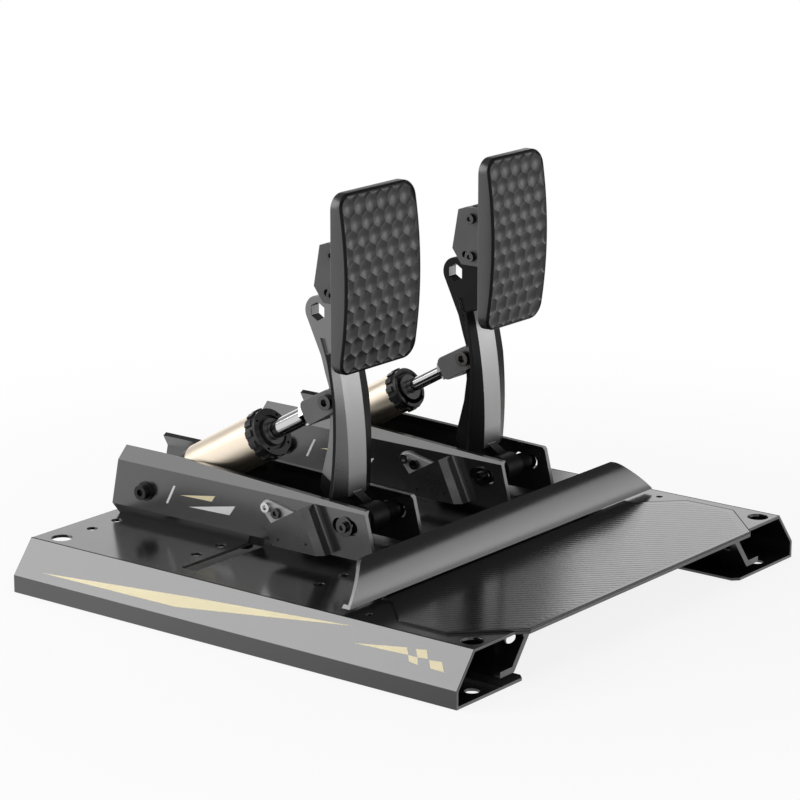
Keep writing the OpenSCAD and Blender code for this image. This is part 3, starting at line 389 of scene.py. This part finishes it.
def dress_nodes():
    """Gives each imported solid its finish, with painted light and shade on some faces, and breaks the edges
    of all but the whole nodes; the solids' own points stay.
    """
    for row in frame["record"]["subparts"]:
        solid = frame["nodes"][row["node"]]
        name = own_name(row["node"])
        mesh = solid.data
        mesh.materials.clear()
        mesh.materials.append(NODE_FINISHES_AND_SHADE.get(name, MATERIALS[row["material_slot"]]))
        finish_and_light = FACE_FINISHES_AND_LIGHT.get(name, FACE_FINISHES_AND_LIGHT.get(row["node"]))
        if finish_and_light:
            paint_faces(mesh, finish_and_light)
        for layer in OLD_SHADING:
            if layer in mesh.attributes:
                mesh.attributes.remove(mesh.attributes[layer])
        mesh.shade_smooth()
        weld = solid.modifiers.new("weld", "WELD")
        weld.merge_threshold = WELD_REACH * MM
        if name in WHOLE_NODES:
            split = solid.modifiers.new("split", "EDGE_SPLIT")
            split.split_angle = SHARP
            continue
        flats = solid.modifiers.new("flats", "DECIMATE")
        flats.decimate_type = "DISSOLVE"
        flats.angle_limit = FLAT_ANGLE
        flats.delimit = {"MATERIAL"}
        edges = solid.modifiers.new("edges", "BEVEL")
        edges.width = EDGE_BREAKS.get(row["material_slot"], SMALL_EDGE) * MM
        edges.segments = EDGE_SEGMENTS
        edges.limit_method = "ANGLE"
        edges.angle_limit = ARM_SHARP if name == "arm" else SHARP
        edges.use_clamp_overlap = False
        edges.harden_normals = True


# Pads

# How far a pad's face bulges, the radius of its corners, and the rounding of its back and face edges
PAD_BULGE = 5.6
PAD_CORNER_R = 10.0
PAD_BACK_ROUND = 0.8
PAD_RIM_R = 1.5
# A cell's width, the rows' pitch, the place of the first cell from the pad's left and top, and the depth
CELL_FLATS = 11.2
CELL_ROW = 9.7
CELL_LEFT = 2.3
CELL_TOP_INSET = 9.0
CELL_DEPTH = 1.5
# Rows and columns past those that fit on the pad, which its border clips
CELLS_PAST = 3
# Points along a cell's side, and the rings of its dish as shares of its outline
CELL_SIDE_STEPS = 4
CELL_RINGS = (1.0, 0.85, 0.7, 0.5, 0.3, 0.15)
# Points this close together are one, points this little outside a border count as inside it, and ridges
# from this angle on are sharp
CELL_MERGE = 0.01
CLIP_SLACK = 1e-9
RIDGE_ANGLE = math.radians(24.0)
# Steps round a pad's corners, over its rounded edges and along its sides
CORNER_STEPS = 8
ROUND_STEPS = 4
SIDE_STEPS = 28


def quarter_turn(steps):
    return [math.pi / 2 * k / steps for k in range(steps + 1)]


def pad_half(half_w, half_h, corner):
    """The right half of a rounded rectangle, from its top to its bottom, as (x, z)."""
    top = [(half_w - corner * (1 - math.sin(a)), half_h - corner * (1 - math.cos(a)))
           for a in quarter_turn(CORNER_STEPS)]
    reach = half_h - corner
    side = [(half_w, reach - 2 * reach * k / SIDE_STEPS) for k in range(1, SIDE_STEPS)]
    return top + side + [(x, -z) for x, z in reversed(top)]


def ring_pairs(items):
    """Each item of a closed ring with the one after it."""
    return zip(items, items[1:] + items[:1])


def clip_polygon(points, border):
    """The part of a polygon inside a convex border that runs clockwise."""
    for (ax, az), (bx, bz) in ring_pairs(border):
        offs = [(bx - ax) * (z - az) - (bz - az) * (x - ax) for x, z in points]
        kept = []
        for (p, dp), (q, dq) in ring_pairs(list(zip(points, offs))):
            if dp <= CLIP_SLACK:
                kept.append(p)
            if (dp <= CLIP_SLACK) != (dq <= CLIP_SLACK):
                t = dp / (dp - dq)
                kept.append((p[0] + t * (q[0] - p[0]), p[1] + t * (q[1] - p[1])))
        points = kept
        if len(points) < 3:
            return []
    return points


def hexagon(x, z, corner_r):
    """A six-sided cell with a point up, clockwise, with more points along each side."""
    corners = [(x + corner_r * math.sin(math.pi / 3 * k), z + corner_r * math.cos(math.pi / 3 * k))
               for k in range(6)]
    points = []
    for p, q in ring_pairs(corners):
        for k in range(CELL_SIDE_STEPS):
            t = k / CELL_SIDE_STEPS
            points.append((p[0] + (q[0] - p[0]) * t, p[1] + (q[1] - p[1]) * t))
    return points


def add_cell(field, outline, middle, corner_r, face_y):
    """One dished cell: rings of its outline that run down into a ball-shaped hollow."""
    cx = sum(p[0] for p in outline) / len(outline)
    cz = sum(p[1] for p in outline) / len(outline)

    def sunk(x, z):
        reach = math.hypot(x - middle[0], z - middle[1]) / corner_r
        return field.verts.new((x, face_y(z) + CELL_DEPTH * max(0.0, 1.0 - reach ** 2), z))

    rings = [[sunk(cx + (x - cx) * scale, cz + (z - cz) * scale) for x, z in outline] for scale in CELL_RINGS]
    for one, two in zip(rings, rings[1:]):
        for k in range(len(outline)):
            n = (k + 1) % len(outline)
            field.faces.new((one[k], one[n], two[n], two[k]))
    tip = sunk(cx, cz)
    for k in range(len(outline)):
        field.faces.new((rings[-1][k], rings[-1][(k + 1) % len(outline)], tip))


def honeycomb(half_w, half_h, border, face_y):
    """Dished six-sided cells that meet in sharp ridges, with a wall up to the face at their border."""
    corner_r = CELL_FLATS / math.sqrt(3)
    field = bmesh.new()
    rows = int(2 * half_h / CELL_ROW) + CELLS_PAST
    columns = int(2 * half_w / CELL_FLATS) + CELLS_PAST
    for row in range(-1, rows):
        mid_z = half_h - CELL_TOP_INSET - CELL_ROW * row
        shift = 0.5 if row % 2 == 0 else 0.0
        for column in range(-1, columns):
            mid_x = -half_w + CELL_LEFT + CELL_FLATS * (column + shift)
            outline = clip_polygon(hexagon(mid_x, mid_z, corner_r), border)
            if outline:
                add_cell(field, outline, (mid_x, mid_z), corner_r, face_y)
    bmesh.ops.remove_doubles(field, verts=field.verts, dist=CELL_MERGE)
    rim = [edge for edge in field.edges if edge.is_boundary]
    raised = bmesh.ops.extrude_edge_only(field, edges=rim)["geom"]
    for vert in (part for part in raised if isinstance(part, bmesh.types.BMVert)):
        vert.co.y = face_y(vert.co.z)
    field.verts.index_update()
    verts = [tuple(vert.co) for vert in field.verts]
    faces = [tuple(vert.index for vert in face.verts) for face in field.faces]
    field.free()
    return verts, faces


def add_pad(side):
    """A pad with rounded edges, painted shade on the rounding round its face, and a honeycomb of dished cells
    in its face.
    """
    low, high = box_mm(f"{side}_pad")
    mid_x, mid_z = (low.x + high.x) / 2, (low.z + high.z) / 2
    half_w, half_h = (high.x - low.x) / 2, (high.z - low.z) / 2
    radius = (half_h ** 2 + PAD_BULGE ** 2) / (2 * PAD_BULGE)

    def face_y(z):
        return low.y + radius - math.sqrt(radius ** 2 - z ** 2)

    def outline(inset):
        half = pad_half(half_w - inset, half_h - inset, PAD_CORNER_R - inset)
        return half + [(-x, z) for x, z in reversed(half)]

    verts, faces = [], []

    def add_ring(inset, depth, from_back):
        start = len(verts)
        for x, z in outline(inset):
            y = high.y - depth if from_back else face_y(z) + depth
            verts.append((x, y, z))
        return list(range(start, len(verts)))

    turn = quarter_turn(ROUND_STEPS)
    rings = [add_ring(PAD_BACK_ROUND * (1 - math.sin(a)), PAD_BACK_ROUND * (1 - math.cos(a)), True)
             for a in turn]
    rings += [add_ring(PAD_RIM_R * (1 - math.cos(a)), PAD_RIM_R * (1 - math.sin(a)), False) for a in turn]
    # The rings run from the back's rounding to the face's, whose faces are painted near-black as shade
    shaded_edge_faces = set()
    for i, (one, two) in enumerate(zip(rings, rings[1:])):
        for k in range(len(one)):
            n = (k + 1) % len(one)
            if i >= len(turn):
                shaded_edge_faces.add(len(faces))
            faces.append((one[k], one[n], two[n], two[k]))
    last = len(rings[0]) - 1
    for k in range(len(rings[0]) // 2 - 1):
        faces.append((rings[0][k], rings[0][k + 1], rings[0][last - k - 1], rings[0][last - k]))

    cell_verts, cell_faces = honeycomb(half_w, half_h, outline(PAD_RIM_R), face_y)
    first = len(verts)
    verts += cell_verts
    faces += [tuple(first + v for v in face) for face in cell_faces]
    pad = add_piece(f"{side}_pad_honeycomb", [(mid_x + x, y, mid_z + z) for x, y, z in verts], faces,
                    MATERIALS["pad_black"], f"{side}_face", smooth=True)
    pad.data.materials.append(PAD_EDGE_SHADE)
    for k in shaded_edge_faces:
        pad.data.polygons[k].material_index = 1
    pad.data.set_sharp_from_angle(angle=RIDGE_ANGLE)
    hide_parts(f"{side}_pad")


# Heel plate

# Right half of the plate's border, and where its neck ends: places from the deck's middle
HEEL_HALF = [(123.0, -185.5), (158.0, -150.5), (158.0, -113.5), (132.0, -88.5)]
HEEL_NECK_Y = -80.5
HEEL_LINE_W = 0.6
# Right half of the ribbed field, placed alike
RIB_HALF = [(121.8, -182.5), (155.0, -150.5), (155.0, -113.5), (129.0, -89.1)]
RIB_PITCH = 4.2
RIB_W = 3.9
RIB_H = 0.07
RIB_SINK = 0.02
# A rib is flat this far from its middle, and its section has points at these places: shares of its width
RIB_FLAT = 0.25
RIB_SHARES = (-0.5, -0.4, -0.32, -0.25, 0.25, 0.32, 0.4, 0.5)


def add_heel_ribs():
    """Low flat-topped ribs across the heel plate, at 45 degrees to its edges."""
    top = box_mm("heel_plate")[1].z
    half = [(x, y + DECK_Y) for x, y in RIB_HALF]
    outline = half + [(-x, y) for x, y in reversed(half)]
    along = Vector((1.0, -1.0)).normalized()
    across = Vector((1.0, 1.0)).normalized()
    spread = [across.dot(Vector(p)) for p in outline]
    verts, faces = [], []
    count = int((max(spread) - min(spread)) / RIB_PITCH)
    for k in range(count):
        off = min(spread) + RIB_PITCH * (k + 0.5)
        cuts = []
        for p, q in ring_pairs([Vector(p) for p in outline]):
            dp, dq = across.dot(p) - off, across.dot(q) - off
            if (dp < 0) != (dq < 0):
                cuts.append(along.dot(p + (q - p) * dp / (dp - dq)))
        if len(cuts) != 2 or abs(cuts[0] - cuts[1]) < 2 * RIB_W:
            continue
        near, far = min(cuts), max(cuts)
        first = len(verts)
        for t, level in ((near, 0.0), (near + RIB_W, 1.0), (far - RIB_W, 1.0), (far, 0.0)):
            for share in RIB_SHARES:
                spot = along * t + across * (off + share * RIB_W)
                past = max(0.0, abs(share) - RIB_FLAT) / (0.5 - RIB_FLAT)
                lift = RIB_H * level * (1.0 - past * past)
                verts.append((spot.x, spot.y, top - RIB_SINK + lift))
        width = len(RIB_SHARES)
        for start in range(first, len(verts) - width, width):
            for a in range(start, start + width - 1):
                faces.append((a, a + 1, a + width + 1, a + width))
    add_piece("heel_plate_ribs", verts, faces, MATERIALS["heel_plate"], "base", smooth=True)


def inset_polygon(points, gap):
    """A closed outline moved in by a gap, with mitred corners; the outline runs clockwise."""
    moved = []
    for last, here, after in zip(points[-1:] + points[:-1], points, points[1:] + points[:1]):
        last, here, after = Vector(last), Vector(here), Vector(after)
        into, out = (here - last).normalized(), (after - here).normalized()
        one, two = Vector((into.y, -into.x)), Vector((out.y, -out.x))
        moved.append(tuple(here + (one + two) * gap / (1.0 + one.dot(two))))
    return moved


def add_heel_line():
    """A dark line of painted shade round the heel plate's border."""
    top = box_mm("heel_plate")[1].z
    half = [(x, y + DECK_Y) for x, y in HEEL_HALF + [(HEEL_HALF[-1][0], HEEL_NECK_Y)]]
    outer = [(-x, y) for x, y in half] + [(x, y) for x, y in reversed(half)]
    inner = inset_polygon(outer, HEEL_LINE_W)
    bands = [[p, q, inner_q, inner_p] for (p, inner_p), (q, inner_q) in ring_pairs(list(zip(outer, inner)))]

    def on_heel(x, y, lift):
        return (x, y, top + lift * LINE_SHARE)
    add_paint("heel_plate_shade_line", bands, on_heel, SEAM_BLACK)


# Painted stripes

# Places on a skirt: along the deck from its middle, and down the slope from the deck's edge
LONG_STRIPE = [(157.1, 21.2), (35.0, 12.2), (-90.8, 4.4), (42.2, 20.6)]
SHORT_STRIPE = [(-96.4, 14.4), (-134.0, 8.9), (-136.8, 13.2)]
CHEQUERS = [
    [(-136.8, 13.2), (-139.1, 16.9), (-146.1, 17.6), (-143.6, 13.2)],
    [(-140.3, 8.5), (-147.9, 7.4), (-151.1, 12.5), (-143.6, 13.2)],
    [(-152.0, 13.0), (-161.2, 12.2), (-165.4, 18.0), (-155.4, 17.7)],
]


def add_skirt_stripes():
    """The gold stripes and chequers on both skirts."""
    fall = Vector((SKIRT_EDGE_X - DECK_EDGE_X, 0.0, SKIRT_EDGE_Z - DECK_Z))
    down = fall.normalized()
    out = Vector((-down.z, 0.0, down.x))
    for name, side in HANDS:
        def on_skirt(y, run, lift):
            spot = Vector((DECK_EDGE_X, y + DECK_Y, DECK_Z)) + down * run + out * lift
            return (side * spot.x, spot.y, spot.z)
        add_paint(f"{name}_skirt_stripes", [LONG_STRIPE, SHORT_STRIPE] + CHEQUERS, on_skirt, GOLD_PAINT)


# Marks on the outer faces of the side plates: places along the deck from its middle, and heights
WHITE_MARKS = [
    [(126.0, 49.0), (124.2, 49.0), (117.2, 62.0), (119.0, 62.0)],
    [(106.0, 50.0), (66.0, 57.6), (71.0, 50.8)],
]
GOLD_MARKS = [[(113.0, 56.6), (83.0, 61.4), (86.0, 57.2)]]
PLATE_PAINTS = (("white", WHITE_MARKS, WHITE_PAINT), ("gold", GOLD_MARKS, GOLD_PAINT))


def add_plate_marks():
    """The white and gold marks on each side plate's outer face."""
    for side in MODULES:
        for hand, sign in HANDS:
            low, high = box_mm(f"{side}_{hand}_plate")
            face_x = low.x if sign < 0 else high.x

            def on_plate(y, z, lift):
                return (face_x + sign * lift, y + DECK_Y, z)
            for paint, marks, material in PLATE_PAINTS:
                add_paint(f"{side}_{hand}_plate_{paint}_marks", marks, on_plate, material)


# The two small screws in each sensor box's outer face: places along Y and heights
PIP_PLACES = [(23.5, 46.9), (0.8, 48.1)]
PIP_R = 0.9
PIP_SIDES = 12


def add_sensor_pips():
    """Round dark screw heads on each sensor box."""
    for side in MODULES:
        face_x = box_mm(f"{side}_sensor_box")[0].x

        def on_box(y, z, lift):
            return (face_x - lift, y, z)
        turns = [2 * math.pi * k / PIP_SIDES for k in range(PIP_SIDES)]
        pips = [[(y + PIP_R * math.cos(a), z + PIP_R * math.sin(a)) for a in turns] for y, z in PIP_PLACES]
        add_paint(f"{side}_sensor_box_pips", pips, on_box, SEAM_BLACK)


# Width of the dark lines of painted shade along the deck's folds
SEAM_W = 0.8


def add_seams():
    """A dark line of painted shade along each fold between the deck and its skirt."""
    front = DECK_L / 2 + DECK_Y
    rear = front - DECK_L
    for name, side in HANDS:
        def on_deck(x, y, lift):
            return (side * x, y, DECK_Z + lift * LINE_SHARE)
        strip = [(DECK_EDGE_X, rear), (DECK_EDGE_X, front), (DECK_EDGE_X - SEAM_W, front),
                 (DECK_EDGE_X - SEAM_W, rear)]
        add_paint(f"{name}_deck_seam_shade", [strip], on_deck, SEAM_BLACK)


# Studio

CAMERA_LENS = 142.4
CAMERA_SENSOR = 36.0
CAMERA_YAW = math.radians(52.115)
CAMERA_PITCH = math.radians(14.744)
CAMERA_AT = (-1.57208, -1.21188, 0.64158)
AMBIENT = 0.40
# The studio is white up to a height and dark overhead, as shares of straight up
WALL_TOP, CEILING_FROM = 0.05, 0.42
CEILING = 0.10
FLOOR_SIZE = 20.0
FLOOR_WHITE = grey(0.85) + (1.0,)
# The floor's share of glow, which rises to 1 between two distances from the object's middle
FLOOR_GLOW = 0.86
FADE_FROM, FADE_TO = 0.25, 0.70
# The floor below the deck is left in its shade
SHADE_AT = (0.0, 0.03)
SHADE_HALF = (0.15, 0.12)
SHADE_SOFT = (0.85, 1.15)
# In mirrors the floor's glow is painted dimmer on the driver's side of the object than on its far side:
# painted shade in reflections
DIM_Y = (-0.32, 0.12)
DIM = 0.40
# Name as seen from the camera, place, aim, width, height and radiance of each softbox
SOFTBOXES = [
    ("key", (-0.72, 0.86, 0.80), (-0.15, 0.0, 0.03), 0.96, 0.84, 3.4),
    ("right", (1.10, -0.95, 0.42), (0.0, 0.0, 0.12), 0.70, 0.60, 1.2),
    ("back_right", (1.44, 0.66, 0.52), (0.0, -0.10, 0.03), 0.36, 0.50, 1.1),
    ("back_left", (0.72, 1.10, 0.48), (-0.15, 0.10, 0.03), 0.50, 0.45, 0.9),
    ("front", (-0.95, -0.88, 0.55), (-0.10, 0.0, 0.08), 0.36, 0.36, 1.3),
    ("overhead", (-0.10, -0.25, 1.50), (0.0, 0.0, 0.10), 0.90, 0.90, 1.2),
]


def seen_directly(tree):
    """1 for rays from the camera, mirrors and glass, and 0 for the rest."""
    path = tree.nodes.new("ShaderNodeLightPath")
    total = path.outputs["Is Camera Ray"]
    for kind in ("Is Glossy Ray", "Is Transmission Ray"):
        total = math_node(tree, "MAXIMUM", total, path.outputs[kind])
    return total


def outside_shade(tree, axes):
    """0 on the floor below the deck, rising to 1 past its border."""
    shares = []
    for axis, middle, half in zip("XY", SHADE_AT, SHADE_HALF):
        off = math_node(tree, "SUBTRACT", axes[axis], middle)
        shares.append(math_node(tree, "DIVIDE", math_node(tree, "ABSOLUTE", off), half))
    return map_range(tree, math_node(tree, "MAXIMUM", *shares), *SHADE_SOFT, smooth=True)


def add_world():
    """White walls and a dark ceiling in what is seen, and an even light on the object."""
    world = bpy.data.worlds.new("studio")
    bpy.context.scene.world = world
    world.use_nodes = True
    tree = world.node_tree
    height = split_axes(tree, texture_place(tree, "Generated"))["Z"]
    wall = map_range(tree, height, WALL_TOP, CEILING_FROM, 1.0, CEILING)
    level = map_range(tree, seen_directly(tree), 0.0, 1.0, AMBIENT, wall)
    background = tree.nodes["Background"]
    tree.links.new(level, background.inputs["Strength"])
    background.inputs["Color"].default_value = grey(1.0) + (1.0,)


def floor_material():
    """White that holds the shadow close to the object and fades into the white background."""
    material = bpy.data.materials.new("floor")
    material.use_nodes = True
    tree = material.node_tree
    tree.nodes.remove(tree.nodes["Principled BSDF"])
    place = texture_place(tree, "Object")
    axes = split_axes(tree, place)
    length = tree.nodes.new("ShaderNodeVectorMath")
    length.operation = "LENGTH"
    tree.links.new(place, length.inputs[0])

    matt = tree.nodes.new("ShaderNodeBsdfDiffuse")
    matt.inputs["Color"].default_value = FLOOR_WHITE
    glow = tree.nodes.new("ShaderNodeEmission")
    camera_ray = tree.nodes.new("ShaderNodeLightPath").outputs["Is Camera Ray"]
    # Painted shade in reflections: the glow that mirrors see is dimmer on the driver's side
    dim = map_range(tree, axes["Y"], *DIM_Y, low=DIM)
    tree.links.new(math_node(tree, "MAXIMUM", camera_ray, dim), glow.inputs["Strength"])

    share = map_range(tree, length.outputs["Value"], FADE_FROM, FADE_TO, low=FLOOR_GLOW, smooth=True)
    share = math_node(tree, "MULTIPLY", share, seen_directly(tree))
    share = math_node(tree, "MULTIPLY", share, outside_shade(tree, axes))
    mix = tree.nodes.new("ShaderNodeMixShader")
    set_sockets(tree, mix.inputs, (share, matt.outputs["BSDF"], glow.outputs["Emission"]))
    tree.links.new(mix.outputs["Shader"], tree.nodes["Material Output"].inputs["Surface"])
    return material


def add_floor():
    half = FLOOR_SIZE / 2
    mesh = bpy.data.meshes.new("floor")
    corners = [(-half, -half, 0), (half, -half, 0), (half, half, 0), (-half, half, 0)]
    mesh.from_pydata(corners, [], [(0, 1, 2, 3)])
    mesh.materials.append(floor_material())
    floor = bpy.data.objects.new("floor", mesh)
    bpy.context.scene.collection.objects.link(floor)


def add_softboxes():
    for name, place, aim, width, height, radiance in SOFTBOXES:
        lamp = bpy.data.lights.new(name, "AREA")
        lamp.shape = "RECTANGLE"
        lamp.size, lamp.size_y = width, height
        lamp.energy = math.pi * width * height * radiance
        softbox = bpy.data.objects.new(name, lamp)
        softbox.location = place
        softbox.rotation_euler = (Vector(aim) - Vector(place)).to_track_quat("-Z", "Y").to_euler()
        softbox.visible_camera = False
        bpy.context.scene.collection.objects.link(softbox)


def add_camera():
    """The photograph's own view."""
    data = bpy.data.cameras.new("photo_view")
    data.lens = CAMERA_LENS
    data.sensor_width = CAMERA_SENSOR
    camera = bpy.data.objects.new("photo_view", data)
    camera.location = CAMERA_AT
    level = math.cos(CAMERA_PITCH)
    ahead = Vector((math.sin(CAMERA_YAW) * level, math.cos(CAMERA_YAW) * level, -math.sin(CAMERA_PITCH)))
    camera.rotation_euler = ahead.to_track_quat("-Z", "Y").to_euler()
    bpy.context.scene.collection.objects.link(camera)
    bpy.context.scene.camera = camera


add_camera()
add_world()
add_floor()
add_softboxes()
dress_nodes()
for module_side in MODULES:
    add_pad(module_side)
add_heel_ribs()
add_heel_line()
add_skirt_stripes()
add_plate_marks()
add_sensor_pips()
add_seams()
bpy.context.scene.view_settings.view_transform = "Standard"

bpy.context.view_layer.update()
